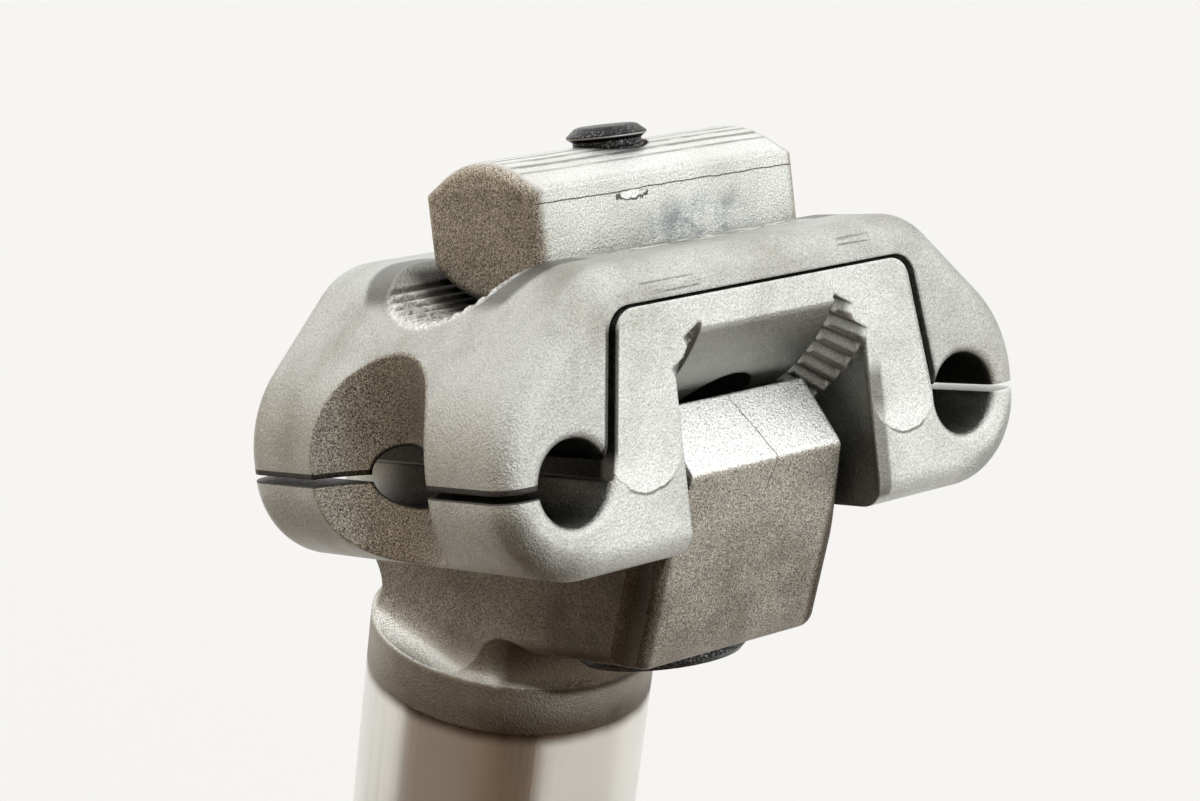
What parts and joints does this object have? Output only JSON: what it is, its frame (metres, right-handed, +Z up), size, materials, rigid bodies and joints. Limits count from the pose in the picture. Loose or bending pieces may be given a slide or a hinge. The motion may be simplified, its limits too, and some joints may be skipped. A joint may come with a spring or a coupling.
{
  "type": "bicycle seatpost",
  "caption": "Aluminium bicycle seatpost: round tube, forged set-back head and a single-bolt, two-piece saddle rail clamp that tilts on a serrated seat.",
  "frame": {"origin": "centre of the tube's lower end, on the post axis", "axes": "+Z up along the post axis to the saddle clamp, +X across the bicycle, -Y to the bicycle's rear, where the clamp is set back"},
  "size_m": [0.0576, 0.0466, 0.2458],
  "materials": {
    "post_tube": "polished",
    "post_head": "bead blasted",
    "lower_clamp": "bead blasted",
    "upper_clamp": "bead blasted",
    "clamp_nut": "bead blasted",
    "clamp_bolt": "black oxide",
    "bolt_washer": "zinc plated"
  },
  "bodies": {
    "post": {"post_tube": "post_tube", "post_head": "post_head", "clamp_bolt": "clamp_bolt", "bolt_washer": "bolt_washer", "clamp_nut": "clamp_nut"},
    "saddle_clamp": {"lower_clamp": "lower_clamp", "upper_clamp": "upper_clamp"}
  },
  "joints": [
    {"name": "clamp_tilt", "type": "hinge", "parent": "post", "child": "saddle_clamp", "pos_m": [0, -0.00529, 0.24255], "axis": [1, 0, 0], "range_deg": [-12.6, 12.6]}
  ]
}
